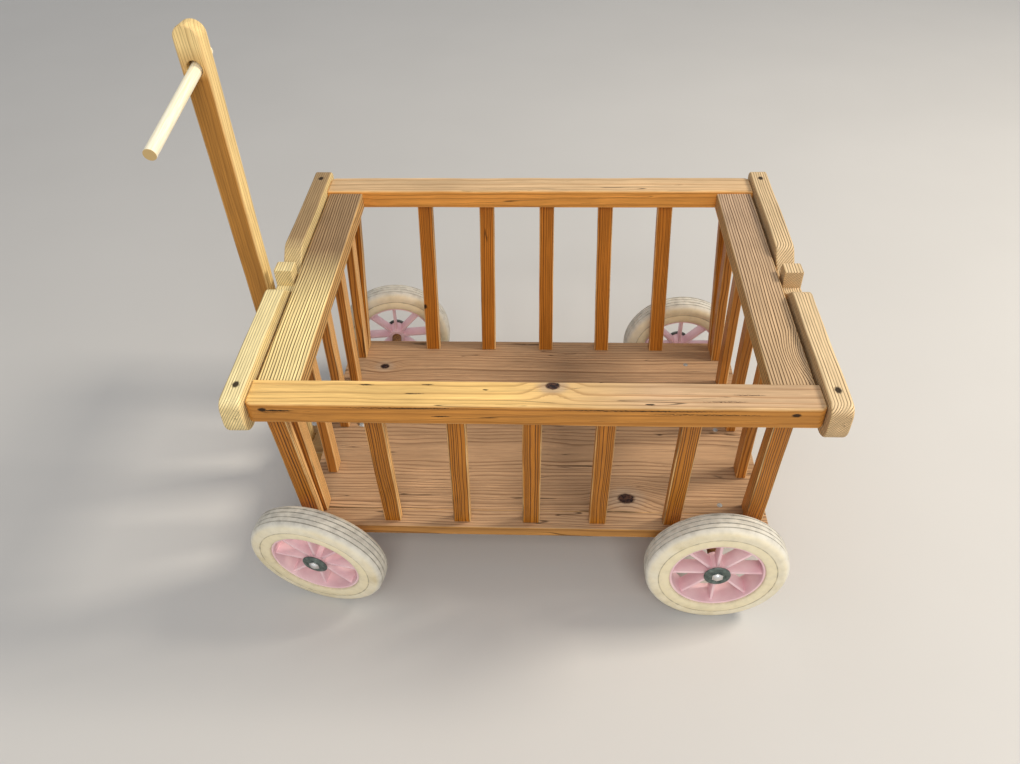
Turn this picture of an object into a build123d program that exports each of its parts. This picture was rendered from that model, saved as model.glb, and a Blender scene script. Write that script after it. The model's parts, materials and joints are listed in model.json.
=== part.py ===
from build123d import *
import math
import os

os.makedirs("parts", exist_ok=True)

# Frame, in mm: X runs along the wagon, +X at the rear, Z is up and the ground is Z = 0.
# -X is the drawbar end. The origin is below the middle of the whole outline, drawbar included.
# mid_x and mid_y place the middle of the body in that frame, and x and y below are from it.
mid_x = 29.66
mid_y = -12.45

# Wheels
wheel_r = 100.0
tyre_w = 40.0
tyre_depth = 34.0
tyre_lip = 4.0
shoulder_h = 14.0
shoulder_w = 9.5
shoulder_knee_h = 5.0
shoulder_knee_w = 3.0
rim_wall = 3.0
rim_setback = 3.5
spoke_count = 8
spoke_t = 4.0
spoke_front = 11.5
spoke_depth = 22.0
hub_r = 14.0
hub_half = 15.0
wheel_gap = 16.0

# Axles and what is threaded on them
axle_r = 5.0
axle_run = 0.06
seat_gap = 0.3
sleeve_len = 26.7
sleeve_r = 8.5
washer_r = 18.5
washer_t = 3.0
nut_flats = 15.0
nut_h = 1.6
dome_r = 8.0
axle_tip = 1.0
dome_sunk = 4.6
stub_in = 60.0
stub_bend_out = 1.0
stub_sleeve_gap = 3.0
steer_rest = -6.0

# Floor boards
floor_half_w = 212.0
floor_t = 17.0
floor_lift = 16.0
floor_strip_w = 32.0
floor_chamfer = 0.8

# Side rails and end rails
rail_half_l = 338.0
rail_w = 45.0
rail_h = 30.0
rail_flare = 60.7
rail_end_r = 9.0
rail_chamfer = 1.6
end_rail_w = 53.0
end_rail_h = 26.0
end_rail_drop = 4.0
end_rail_back = 4.0

# Slats
slat_w = 24.0
slat_t = 15.0
slat_chamfer = 1.5
slat_rise = 263.5
slat_margin = 9.0
slat_pitch = 104.0
corner_slat_in = 26.0
end_slat_shift = 1.0
end_slat_foot_in = 38.0
end_slat_top_in = 17.7
end_slat_foot_share = 0.57
end_slat_top_share = 0.515

# End boards: a plateau, a valley and a small square nub in the middle
board_t = 26.0
board_over = 10.3
board_rise = 9.5
board_drop = 18.5
plateau_end = 55.0
valley_wall = 27.0
valley_depth = 25.0
nub_half = 12.0
board_low_r = 26.0
board_high_r = 14.0
board_chamfer = 1.2

# Axle beams and turntable
beam_w = 40.0
beam_drop = 16.0
rear_axle_in = 81.0
steer_in = 58.0
plate_t = 3.0
plate_r = 50.0
turn_gap = 0.3
kingpin_r = 5.0
kingpin_run = 0.06
kingpin_head_r = 10.0
kingpin_head_h = 4.0
kingpin_tip = 3.0
kingpin_nut_flats = 17.0
kingpin_nut_h = 8.0
kingpin_flange_r = 11.0
kingpin_flange_t = 2.0
kingpin_nut_gap = 1.0

# Tongue and drawbar
cheek_t = 18.0
cheek_h = 28.0
cheek_gap_half = 13.5
cheek_over = 16.0
block_clear = 1.0
cheek_back = 20.0
block_back = -22.0
pivot_clear = 24.0
pivot_r = 5.0
pivot_nut_flats = 17.0
pivot_head_h = 6.5
pivot_nut_h = 8.0
bar_t = 25.0
bar_foot_w = 27.0
bar_head_w = 34.0
bar_len = 696.0
bar_round = 16.0
bar_tilt = -1.5
handle_from_head = 52.0
handle_r = 7.8
handle_near = 172.0
handle_far = 34.0
handle_droop = 10.5
handle_skew = 2.7

# Heights, worked out from the values above
floor_bottom = wheel_r + floor_lift
floor_top = floor_bottom + floor_t
rail_bottom = floor_top + slat_rise
rail_top = rail_bottom + rail_h
end_rail_top = rail_top - end_rail_drop
end_rail_bottom = end_rail_top - end_rail_h
board_top = rail_top + board_rise
board_bottom = rail_bottom - board_drop
valley_z = board_top - valley_depth
beam_bottom = wheel_r - beam_drop
plate_bottom = floor_bottom - plate_t
beam_top = plate_bottom - turn_gap
pivot_z = beam_bottom - cheek_h / 2
kingpin_nut_top = beam_bottom - kingpin_nut_gap
kingpin_nut_bottom = kingpin_nut_top - kingpin_flange_t - kingpin_nut_h

# Lengths along X
floor_half_l = rail_half_l - end_rail_back
end_rail_out_x = rail_half_l - end_rail_back
end_rail_mid_x = end_rail_out_x - end_rail_w / 2
end_slat_x = end_rail_mid_x + end_slat_shift
corner_slat_x = rail_half_l - corner_slat_in
rear_axle_x = rail_half_l - rear_axle_in
steer_x = steer_in - rail_half_l
pivot_x = -pivot_clear - board_t - steer_in
cheek_front = pivot_x - cheek_over
block_front = pivot_x + bar_foot_w / 2 + block_clear
handle_up = bar_len - handle_from_head

# Widths along Y
wheel_mid_y = floor_half_w + wheel_gap + tyre_w / 2
hub_out = wheel_mid_y + hub_half
hub_in = wheel_mid_y - hub_half
sleeve_out = hub_in - seat_gap
beam_half = sleeve_out - sleeve_len
washer_in = hub_out + seat_gap
washer_out = washer_in + washer_t
axle_end = washer_out + nut_h + axle_tip
floor_joint_y = floor_strip_w - floor_half_w
rail_out_y = floor_half_w + rail_flare
rail_in_y = rail_out_y - rail_w
slat_foot_y = floor_half_w - slat_margin - slat_t / 2
slat_top_y = rail_out_y - rail_w / 2
end_foot_y = floor_half_w - end_slat_foot_in
end_top_y = rail_in_y - end_slat_top_in
board_half = rail_out_y + board_over
tyre_seat_r = wheel_r - tyre_depth
rim_open_r = tyre_seat_r - rim_wall

# Working planes: home is the wagon's middle, rear and turn stand below the two axles' middles
steer_angle = math.radians(steer_rest)
home = Plane(origin=(mid_x, mid_y, 0), x_dir=(1, 0, 0), z_dir=(0, 0, 1))
rear = Plane(origin=(mid_x + rear_axle_x, mid_y, 0), x_dir=(1, 0, 0), z_dir=(0, 0, 1))
turn_dir = (math.cos(steer_angle), math.sin(steer_angle), 0)
turn = Plane(origin=(mid_x + steer_x, mid_y, 0), x_dir=turn_dir, z_dir=(0, 0, 1))

# The front stubs are bent forward and a little down, and the axle has slid to the far side
stub_rows = [
    # name part, side, shift of the wheel's middle outwards, toe in, camber
    ("near", -1, -6.0, 6.0, 7.0),
    ("far", 1, 29.0, 13.0, 2.0),
]
stub_bend = {}
stub_reach = {}
stub_base = {}
for name, side, shift, toe_in, camber in stub_rows:
    toe, lean = math.radians(toe_in), math.radians(camber)
    level = turn.y_dir * side * math.cos(toe) - turn.x_dir * math.sin(toe)
    outward = level * math.cos(lean) - turn.z_dir * math.sin(lean)
    reach = (wheel_mid_y + shift - beam_half - stub_bend_out) / (math.cos(toe) * math.cos(lean))
    wheel_z = wheel_r * math.cos(lean) + (tyre_w / 2 - shoulder_w) * math.sin(lean)
    bend_z = wheel_z + reach * math.sin(lean)
    bend = turn.from_local_coords(Vector(0, side * (beam_half + stub_bend_out), bend_z))
    along = outward * side
    level_x = along.cross(turn.z_dir).normalized()
    up = level_x.cross(along)
    base_at = bend + outward * (reach - wheel_mid_y) - up * wheel_r
    stub_bend[side] = bend_z
    stub_reach[side] = reach
    stub_base[side] = Plane(origin=base_at, x_dir=level_x, z_dir=up)


def across(base, x, y, z):
    """A plane whose normal runs along the base's Y, so a circle drawn on it turns about an axle."""
    origin = base.from_local_coords(Vector(x, y, z))
    return Plane(origin=origin, x_dir=base.x_dir, z_dir=base.y_dir)


def save(piece, label):
    piece.part.label = label
    export_step(piece.part, "parts/" + label + ".step")


# Floor: a narrow strip along the near edge and the wide panel behind it
floor_rows = [
    # label, near edge, far edge
    ("floor_strip", -floor_half_w, floor_joint_y),
    ("floor_panel", floor_joint_y, floor_half_w),
]
for label, y_low, y_high in floor_rows:
    with BuildPart() as board:
        with BuildSketch(home.offset(floor_bottom)):
            with Locations((0, (y_low + y_high) / 2)):
                Rectangle(2 * floor_half_l, y_high - y_low)
        extrude(amount=floor_t)
        if label == "floor_panel":
            with BuildSketch(home.offset(floor_bottom)):
                with Locations((steer_x, 0)):
                    Circle(kingpin_r)
            extrude(amount=floor_t, mode=Mode.SUBTRACT)
        top_edges = board.edges().group_by(Axis.Z)[-1].filter_by(GeomType.LINE)
        chamfer(top_edges, length=floor_chamfer)
    save(board, label)

# Side rails: an eased section along the wagon, with the two outer corners rounded from above
rail_rows = [
    # label, side
    ("side_rail_near", -1),
    ("side_rail_far", 1),
]
rail_mid_z = (rail_bottom + rail_top) / 2
for label, side in rail_rows:
    rail_start = home.from_local_coords(Vector(-rail_half_l, side * slat_top_y, rail_mid_z))
    with BuildPart() as rail:
        with BuildSketch(Plane(origin=rail_start, x_dir=(0, 1, 0), z_dir=(1, 0, 0))):
            Rectangle(rail_w, rail_h)
            chamfer(vertices(), length=rail_chamfer)
        extrude(amount=2 * rail_half_l)
        with BuildSketch(home.offset(rail_bottom)):
            with Locations((0, side * slat_top_y)):
                Rectangle(2 * rail_half_l, rail_w)
            outer = [v for v in vertices() if v.Y * side > slat_top_y]
            fillet(outer, radius=rail_end_r)
        extrude(amount=rail_h, mode=Mode.INTERSECT)
    save(rail, label)

# End rails: flat boards between the side rails
end_rail_rows = [
    # label, end
    ("end_rail_front", -1),
    ("end_rail_rear", 1),
]
end_rail_mid_z = (end_rail_bottom + end_rail_top) / 2
for label, end in end_rail_rows:
    rail_start = home.from_local_coords(Vector(end * end_rail_mid_x, -rail_in_y, end_rail_mid_z))
    with BuildPart() as rail:
        with BuildSketch(Plane(origin=rail_start, x_dir=(-1, 0, 0), z_dir=(0, 1, 0))):
            Rectangle(end_rail_w, end_rail_h)
            chamfer(vertices(), length=rail_chamfer)
        extrude(amount=2 * rail_in_y)
    save(rail, label)

# End boards with the plateau, valley and nub outline
board_rows = [
    # label, x of the board's face on the -X side
    ("end_board_front", -rail_half_l - board_t),
    ("end_board_rear", rail_half_l),
]
for label, face_x in board_rows:
    face_at = home.from_local_coords(Vector(face_x, 0, 0))
    with BuildPart() as board:
        with BuildSketch(Plane(origin=face_at, x_dir=(0, 1, 0), z_dir=(1, 0, 0))):
            # local x is the wagon's Y and local y is the height
            with BuildLine():
                Polyline(
                    (-board_half, board_bottom),
                    (board_half, board_bottom),
                    (board_half, board_top),
                    (plateau_end, board_top),
                    (valley_wall, valley_z),
                    (nub_half, valley_z),
                    (nub_half, board_top),
                    (-nub_half, board_top),
                    (-nub_half, valley_z),
                    (-valley_wall, valley_z),
                    (-plateau_end, board_top),
                    (-board_half, board_top),
                    close=True,
                )
            make_face()
            ends = [v for v in vertices() if abs(v.X) > board_half - 1]
            low_corners = [v for v in ends if v.Y < board_bottom + 1]
            fillet(low_corners, radius=board_low_r)
            high_corners = [v for v in vertices() if v.Y > board_top - 1 and abs(v.X) > board_half - 1]
            fillet(high_corners, radius=board_high_r)
        extrude(amount=board_t)
        outline = board.edges().filter_by(Axis.X, reverse=True)
        chamfer(outline, length=board_chamfer)
    save(board, label)

# Side slats: they stand on the floor and lean outwards to the rail
slat_rows = [
    # name part, side, place in steps of the pitch, foot offset, top offset; 3 stands for a corner
    ("near_1", -1, -3, -6.0, 0.0),
    ("near_2", -1, -2, 5.0, 15.0),
    ("near_3", -1, -1, 1.0, 12.0),
    ("near_4", -1, 0, -4.0, 0.0),
    ("near_5", -1, 1, -13.0, -15.0),
    ("near_6", -1, 2, -12.0, -17.0),
    ("near_7", -1, 3, -3.0, -14.0),
    ("far_1", 1, -3, 0.0, 6.0),
    ("far_2", 1, -2, 22.0, 23.0),
    ("far_3", 1, -1, 17.0, 20.0),
    ("far_4", 1, 0, 14.0, 14.0),
    ("far_5", 1, 1, 8.0, 5.0),
    ("far_6", 1, 2, 0.0, -3.0),
    ("far_7", 1, 3, 0.0, -6.0),
]
for name, side, step, foot_off, top_off in slat_rows:
    if abs(step) == 3:
        place_x = math.copysign(corner_slat_x, step)
    else:
        place_x = step * slat_pitch
    with BuildPart() as slat:
        with BuildSketch(home.offset(floor_top)):
            with Locations((place_x + foot_off, side * slat_foot_y)):
                Rectangle(slat_w, slat_t)
            chamfer(vertices(), length=slat_chamfer)
        with BuildSketch(home.offset(rail_bottom)):
            with Locations((place_x + top_off, side * slat_top_y)):
                Rectangle(slat_w, slat_t)
            chamfer(vertices(), length=slat_chamfer)
        loft(ruled=True)
    save(slat, "slat_" + name)

# End slats: five at each end, under the end rail
end_slat_rows = [
    # share of the outer slat's foot y, share of its top y
    (-1.0, -1.0),
    (-end_slat_foot_share, -end_slat_top_share),
    (0.0, 0.0),
    (end_slat_foot_share, end_slat_top_share),
    (1.0, 1.0),
]
for label, end in [("end_slats_front", -1), ("end_slats_rear", 1)]:
    with BuildPart() as slats:
        for foot_share, top_share in end_slat_rows:
            with BuildSketch(home.offset(floor_top)):
                with Locations((end * end_slat_x, foot_share * end_foot_y)):
                    Rectangle(slat_t, slat_w)
                chamfer(vertices(), length=slat_chamfer)
            with BuildSketch(home.offset(end_rail_bottom)):
                with Locations((end * end_slat_x, top_share * end_top_y)):
                    Rectangle(slat_t, slat_w)
                chamfer(vertices(), length=slat_chamfer)
            loft(ruled=True)
    save(slats, label)

# Rear axle beam under the floor, with the bore for the axle rod
with BuildPart() as rear_beam:
    with BuildSketch(home.offset(beam_bottom)):
        with Locations((rear_axle_x, 0)):
            Rectangle(beam_w, 2 * beam_half)
    extrude(amount=floor_bottom - beam_bottom)
    with BuildSketch(across(rear, 0, -beam_half, wheel_r)):
        Circle(axle_r)
    extrude(amount=2 * beam_half, mode=Mode.SUBTRACT)
save(rear_beam, "rear_beam")

with BuildPart() as rear_axle:
    with BuildSketch(across(rear, 0, -axle_end, wheel_r)):
        Circle(axle_r)
    extrude(amount=2 * axle_end)
save(rear_axle, "rear_axle")

# Turntable plate under the floor, and the kingpin through floor, plate and front beam
with BuildPart() as turn_plate:
    with BuildSketch(home.offset(plate_bottom)):
        with Locations((steer_x, 0)):
            Circle(plate_r)
            Circle(kingpin_r, mode=Mode.SUBTRACT)
    extrude(amount=plate_t)
save(turn_plate, "turntable_plate")

with BuildPart() as kingpin:
    with BuildSketch(Plane(origin=turn.origin, x_dir=(1, 0, 0), z_dir=(0, -1, 0))):
        with BuildLine():
            Polyline(
                (0, kingpin_nut_bottom - kingpin_tip),
                (kingpin_r, kingpin_nut_bottom - kingpin_tip),
                (kingpin_r, floor_top),
                (kingpin_head_r, floor_top),
                (kingpin_head_r * 0.7, floor_top + kingpin_head_h),
                (0, floor_top + kingpin_head_h),
                close=True,
            )
        make_face()
    revolve(axis=Axis(turn.origin, (0, 0, 1)))
save(kingpin, "kingpin")

with BuildPart() as kingpin_nut:
    with BuildSketch(home.offset(kingpin_nut_bottom)):
        with Locations((steer_x, 0)):
            RegularPolygon(kingpin_nut_flats / 2, 6, major_radius=False)
    extrude(amount=kingpin_nut_h)
    with BuildSketch(home.offset(kingpin_nut_top - kingpin_flange_t)):
        with Locations((steer_x, 0)):
            Circle(kingpin_flange_r)
    extrude(amount=kingpin_flange_t)
    with BuildSketch(home.offset(kingpin_nut_bottom)):
        with Locations((steer_x, 0)):
            Circle(kingpin_r)
    extrude(amount=kingpin_nut_h + kingpin_flange_t, mode=Mode.SUBTRACT)
save(kingpin_nut, "kingpin_nut")

# Front beam, turned with the steering, with a bore for each axle stub
stub_straight = beam_half - stub_in
with BuildPart() as front_beam:
    with BuildSketch(turn.offset(beam_bottom)):
        Rectangle(beam_w, 2 * beam_half)
        Circle(kingpin_r + kingpin_run, mode=Mode.SUBTRACT)
    extrude(amount=beam_top - beam_bottom)
    for side in (-1, 1):
        bore_start = stub_in if side > 0 else -beam_half
        with BuildSketch(across(turn, 0, bore_start, stub_bend[side])):
            Circle(axle_r)
        extrude(amount=stub_straight, mode=Mode.SUBTRACT)
save(front_beam, "front_beam")

with BuildPart() as front_axle:
    for side in (-1, 1):
        base = stub_base[side]
        straight = stub_straight + stub_bend_out
        straight_start = stub_in if side > 0 else -stub_in - straight
        with BuildSketch(across(turn, 0, straight_start, stub_bend[side])):
            Circle(axle_r)
        extrude(amount=straight)
        bent_in = wheel_mid_y - stub_reach[side]
        bent_start = bent_in if side > 0 else -axle_end
        with BuildSketch(across(base, 0, bent_start, wheel_r)):
            Circle(axle_r)
        extrude(amount=axle_end - bent_in)
        corner = base.from_local_coords(Vector(0, side * bent_in, wheel_r))
        add(Location(corner) * Sphere(axle_r, mode=Mode.PRIVATE))
save(front_axle, "front_axle_stubs")

# Sleeves, washers and dome nuts on both axles
near_sleeve = stub_reach[-1] - hub_half - seat_gap - stub_sleeve_gap
far_sleeve = stub_reach[1] - hub_half - seat_gap - stub_sleeve_gap
axle_rows = [
    # name part, near base plane, far base plane, near sleeve, far sleeve
    ("rear", rear, rear, sleeve_len, sleeve_len),
    ("front", stub_base[-1], stub_base[1], near_sleeve, far_sleeve),
]
for axle_name, near_base, far_base, near_len, far_len in axle_rows:
    end_rows = [(-1, near_base, near_len), (1, far_base, far_len)]
    with BuildPart() as sleeves:
        for side, base, length in end_rows:
            low = sleeve_out - length if side > 0 else -sleeve_out
            with BuildSketch(across(base, 0, low, wheel_r)):
                Circle(sleeve_r)
                Circle(axle_r, mode=Mode.SUBTRACT)
            extrude(amount=length)
    save(sleeves, axle_name + "_sleeves")
    with BuildPart() as washers:
        for side, base, length in end_rows:
            low = washer_in if side > 0 else -washer_out
            with BuildSketch(across(base, 0, low, wheel_r)):
                Circle(washer_r)
                Circle(axle_r, mode=Mode.SUBTRACT)
            extrude(amount=washer_t)
    save(washers, axle_name + "_washers")
    with BuildPart() as nuts:
        for side, base, length in end_rows:
            centre = base.from_local_coords(Vector(0, side * (washer_out + nut_h - dome_sunk), wheel_r))
            add(Location(centre) * Sphere(dome_r, mode=Mode.PRIVATE))
            low = 0.0 if side > 0 else -washer_out
            with BuildSketch(across(base, 0, low, wheel_r)):
                Circle(2 * dome_r)
            extrude(amount=washer_out, mode=Mode.SUBTRACT)
        for side, base, length in end_rows:
            low = washer_out if side > 0 else -washer_out - nut_h
            with BuildSketch(across(base, 0, low, wheel_r)):
                RegularPolygon(nut_flats / 2, 6, major_radius=False)
            extrude(amount=nut_h)
            low = 0.0 if side > 0 else -axle_end
            with BuildSketch(across(base, 0, low, wheel_r)):
                Circle(axle_r)
            extrude(amount=axle_end, mode=Mode.SUBTRACT)
    save(nuts, axle_name + "_nuts")

# Wheels: a tyre, and a one-piece rim with a hub tube, eight radial webs and an open barrel
wheel_rows = [
    # name part, base plane, side
    ("rear_near", rear, -1),
    ("rear_far", rear, 1),
    ("front_near", stub_base[-1], -1),
    ("front_far", stub_base[1], 1),
]
tyre_half = tyre_w / 2
barrel_half = tyre_half - rim_setback
web_len = rim_open_r - hub_r + rim_wall
for wheel_name, base, side in wheel_rows:
    mid = base.from_local_coords(Vector(0, side * wheel_mid_y, wheel_r))
    outward = base.y_dir * side
    axle_line = Axis(mid, outward)
    # on face, local x runs outwards along the axle and local y runs up
    face = Plane(origin=mid, x_dir=outward, z_dir=outward.cross(Vector(0, 0, 1)))
    hub_start = Plane(origin=mid - outward * hub_half, x_dir=base.x_dir, z_dir=outward)
    web_start = Plane(origin=mid + outward * (spoke_front - spoke_depth), x_dir=base.x_dir, z_dir=outward)
    with BuildPart() as tyre:
        with BuildSketch(face):
            with BuildLine():
                Polyline(
                    (-barrel_half, tyre_seat_r),
                    (barrel_half, tyre_seat_r),
                    (tyre_half, tyre_seat_r + tyre_lip),
                    (tyre_half, wheel_r - shoulder_h),
                    (tyre_half - shoulder_knee_w, wheel_r - shoulder_knee_h),
                    (tyre_half - shoulder_w, wheel_r),
                    (-tyre_half + shoulder_w, wheel_r),
                    (-tyre_half + shoulder_knee_w, wheel_r - shoulder_knee_h),
                    (-tyre_half, wheel_r - shoulder_h),
                    (-tyre_half, tyre_seat_r + tyre_lip),
                    close=True,
                )
            make_face()
        revolve(axis=axle_line)
    save(tyre, "tyre_" + wheel_name)
    with BuildPart() as rim:
        with BuildSketch(face):
            with Locations((0, tyre_seat_r - rim_wall / 2)):
                Rectangle(2 * barrel_half, rim_wall)
        revolve(axis=axle_line)
        with BuildSketch(hub_start):
            Circle(hub_r)
        extrude(amount=2 * hub_half)
        with BuildSketch(web_start):
            with PolarLocations((hub_r + rim_open_r) / 2, spoke_count):
                Rectangle(web_len, spoke_t)
        extrude(amount=spoke_depth)
        with BuildSketch(hub_start):
            Circle(axle_r + axle_run)
        extrude(amount=2 * hub_half, mode=Mode.SUBTRACT)
    save(rim, "rim_" + wheel_name)

# Tongue under the front beam: two cheeks and the block between them
cheek_rows = [
    # label, y where the cheek starts
    ("tongue_cheek_near", -cheek_gap_half - cheek_t),
    ("tongue_cheek_far", cheek_gap_half),
]
for label, low in cheek_rows:
    with BuildPart() as cheek:
        with BuildSketch(across(turn, 0, low, 0)):
            # local x is along the wagon and local y runs down
            with Locations(((cheek_front + cheek_back) / 2, -pivot_z)):
                Rectangle(cheek_back - cheek_front, cheek_h)
            nose = [v for v in vertices() if v.X < cheek_front + 1]
            fillet(nose, radius=cheek_h / 2 - 0.5)
            with Locations((pivot_x, -pivot_z)):
                Circle(pivot_r, mode=Mode.SUBTRACT)
        extrude(amount=cheek_t)
    save(cheek, label)

with BuildPart() as block:
    with BuildSketch(turn.offset(beam_bottom - cheek_h)):
        with Locations(((block_front + block_back) / 2, 0)):
            Rectangle(block_back - block_front, 2 * cheek_gap_half)
    extrude(amount=cheek_h)
save(block, "tongue_block")

# Drawbar on its pivot bolt, upright, with the slanting handle rod near its head
pivot = turn.from_local_coords(Vector(pivot_x, 0, pivot_z))
lean = math.radians(bar_tilt)
bar_up = (turn.z_dir * math.cos(lean) + turn.x_dir * math.sin(lean)).normalized()
bar_side = turn.y_dir
rod_mid = pivot + bar_up * handle_up
bar_fore = bar_side.cross(bar_up)
droop = math.radians(handle_droop)
skew = math.radians(handle_skew)
rod_level = bar_fore * math.sin(skew) - bar_side * math.cos(skew)
rod_dir = (rod_level * math.cos(droop) - bar_up * math.sin(droop)).normalized()
rod_across = bar_up.cross(rod_dir)
foot_r = bar_foot_w / 2
bar_shoulder = bar_len - bar_round
with BuildPart() as drawbar:
    with BuildSketch(Plane(origin=pivot - bar_side * bar_t / 2, x_dir=bar_up, z_dir=bar_side)):
        with BuildLine():
            Polyline(
                (0, -foot_r),
                (bar_shoulder, -bar_head_w / 2),
                (bar_shoulder, bar_head_w / 2),
                (0, foot_r),
                close=True,
            )
        make_face()
        Circle(foot_r)
        with Locations((bar_shoulder, 0)):
            Ellipse(bar_round, bar_head_w / 2)
        Circle(pivot_r + axle_run, mode=Mode.SUBTRACT)
    extrude(amount=bar_t)
    with BuildSketch(Plane(origin=rod_mid - rod_dir * 2 * bar_t, x_dir=rod_across, z_dir=rod_dir)):
        Circle(handle_r)
    extrude(amount=4 * bar_t, mode=Mode.SUBTRACT)
save(drawbar, "drawbar")

with BuildPart() as handle:
    with BuildSketch(Plane(origin=rod_mid - rod_dir * handle_far, x_dir=rod_across, z_dir=rod_dir)):
        Circle(handle_r)
    extrude(amount=handle_near + handle_far)
save(handle, "handle_rod")

bolt_half = cheek_gap_half + cheek_t
with BuildPart() as pivot_bolt:
    with BuildSketch(across(turn, pivot_x, -bolt_half - pivot_nut_h, pivot_z)):
        RegularPolygon(pivot_nut_flats / 2, 6, major_radius=False)
    extrude(amount=pivot_nut_h)
    with BuildSketch(across(turn, pivot_x, -bolt_half - pivot_nut_h - 1.0, pivot_z)):
        Circle(pivot_r)
    extrude(amount=2 * bolt_half + pivot_nut_h + 1.0)
    with BuildSketch(across(turn, pivot_x, bolt_half, pivot_z)):
        RegularPolygon(pivot_nut_flats / 2, 6, major_radius=False)
    extrude(amount=pivot_head_h)
save(pivot_bolt, "pivot_bolt")
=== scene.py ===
import json
import math

import bmesh
import bpy
from mathutils import Matrix, Vector, noise


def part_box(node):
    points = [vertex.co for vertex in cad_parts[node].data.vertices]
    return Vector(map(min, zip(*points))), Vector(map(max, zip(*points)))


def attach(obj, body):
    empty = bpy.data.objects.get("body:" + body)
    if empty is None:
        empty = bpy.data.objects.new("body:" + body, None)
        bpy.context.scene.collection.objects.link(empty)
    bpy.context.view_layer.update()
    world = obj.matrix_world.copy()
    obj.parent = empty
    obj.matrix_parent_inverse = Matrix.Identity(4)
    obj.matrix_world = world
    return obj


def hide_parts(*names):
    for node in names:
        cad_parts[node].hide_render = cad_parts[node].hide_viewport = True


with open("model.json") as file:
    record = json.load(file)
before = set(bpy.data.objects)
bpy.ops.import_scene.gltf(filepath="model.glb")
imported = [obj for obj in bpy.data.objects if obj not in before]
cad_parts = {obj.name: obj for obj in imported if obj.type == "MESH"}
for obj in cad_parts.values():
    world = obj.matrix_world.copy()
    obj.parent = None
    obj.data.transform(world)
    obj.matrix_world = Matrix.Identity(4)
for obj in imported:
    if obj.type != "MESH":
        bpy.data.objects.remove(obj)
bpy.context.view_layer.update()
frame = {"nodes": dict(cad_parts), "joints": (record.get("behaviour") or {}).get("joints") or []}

# Camera, floor and light
# The camera stands where the photograph was taken from, 1.1 m up and 1 m away from the wagon's middle, and
# looks down at it by 41 degrees. The stage is a pale floor under soft light from the right and the front.
MM = 0.001
MID_X = 29.66 * MM
MID_Y = -12.45 * MM
LENS_PX = 866.25
IMAGE_W = 1020
SENSOR_W = 36
camera_at = Vector((17.80 * MM + MID_X, -1001.55 * MM + MID_Y, 1108.73 * MM))
yaw, pitch, roll = (math.radians(a) for a in (3.306, -41.422, -1.639))
ahead = Vector((-math.sin(yaw) * math.cos(pitch), math.cos(yaw) * math.cos(pitch), math.sin(pitch)))
level = Vector((math.cos(yaw), math.sin(yaw), 0))
above = level.cross(ahead)
across_view = level * math.cos(roll) + above * math.sin(roll)
up_view = above * math.cos(roll) - level * math.sin(roll)

camera_data = bpy.data.cameras.new("camera")
camera_data.sensor_width = SENSOR_W
camera_data.lens = LENS_PX / IMAGE_W * SENSOR_W
camera = bpy.data.objects.new("camera", camera_data)
camera.matrix_world = Matrix((across_view, up_view, -ahead)).transposed().to_4x4()
camera.location = camera_at
bpy.context.collection.objects.link(camera)
bpy.context.scene.camera = camera


def paint(code):
    """A hex colour as Blender's linear colour."""
    parts = [int(code[i:i + 2], 16) / 255 for i in (1, 3, 5)]
    return tuple(c / 12.92 if c <= 0.04045 else ((c + 0.055) / 1.055) ** 2.4 for c in parts) + (1.0,)


def set_inputs(node, inputs):
    """Links each input that is given an output socket, and sets the others."""
    for key, value in inputs.items():
        if isinstance(value, bpy.types.NodeSocket):
            node.id_data.links.new(value, node.inputs[key])
        else:
            node.inputs[key].default_value = value


def add_node(tree, kind, inputs=None, out=0, stops=(), **settings):
    """Adds a shader node with its settings and links, and gives its output out. stops colour a ramp."""
    made = tree.nodes.new("ShaderNode" + kind)
    for key, value in settings.items():
        setattr(made, key, value)
    for k, (place, colour) in enumerate(stops):
        ramp = made.color_ramp.elements
        stop = ramp[k] if k < 2 else ramp.new(place)
        stop.position, stop.color = place, paint(colour)
    set_inputs(made, inputs or {})
    return made.outputs[out]


def new_finish(name):
    """An empty material, its tree and its shader."""
    finish = bpy.data.materials.new(name)
    finish.use_nodes = True
    return finish, finish.node_tree, finish.node_tree.nodes["Principled BSDF"]


stage_finish, tree, shader = new_finish("pale studio floor")
specks = add_node(tree, "TexNoise", {"Scale": 40.0, "Detail": 4.0})
shade = add_node(tree, "MapRange", {"Value": specks, "To Min": 0.60, "To Max": 0.66})
set_inputs(shader, {"Base Color": shade, "Roughness": 0.9})
bm = bmesh.new()
bmesh.ops.create_circle(bm, cap_ends=True, segments=64, radius=9.0)
floor_mesh = bpy.data.meshes.new("studio_floor")
bm.to_mesh(floor_mesh)
bm.free()
floor_mesh.materials.append(stage_finish)
studio_floor = bpy.data.objects.new("studio_floor", floor_mesh)
bpy.context.collection.objects.link(studio_floor)

# the room lights the wagon softly, and is brighter where it is seen straight, in gloss or through glass
world = bpy.data.worlds.new("soft room")
bpy.context.scene.world = world
world.use_nodes = True
tree = world.node_tree
lit_by, seen_at = 0.40, 0.9
rays = add_node(tree, "LightPath").node.outputs
direct = add_node(tree, "Math", {0: rays["Is Camera Ray"], 1: rays["Is Glossy Ray"]}, operation="MAXIMUM")
direct = add_node(tree, "Math", {0: direct, 1: rays["Is Transmission Ray"]}, operation="MAXIMUM")
strength = add_node(tree, "MapRange", {"Value": direct, "To Min": lit_by, "To Max": seen_at})
set_inputs(tree.nodes["Background"], {"Color": (1.0, 1.0, 1.0, 1.0), "Strength": strength})

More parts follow.
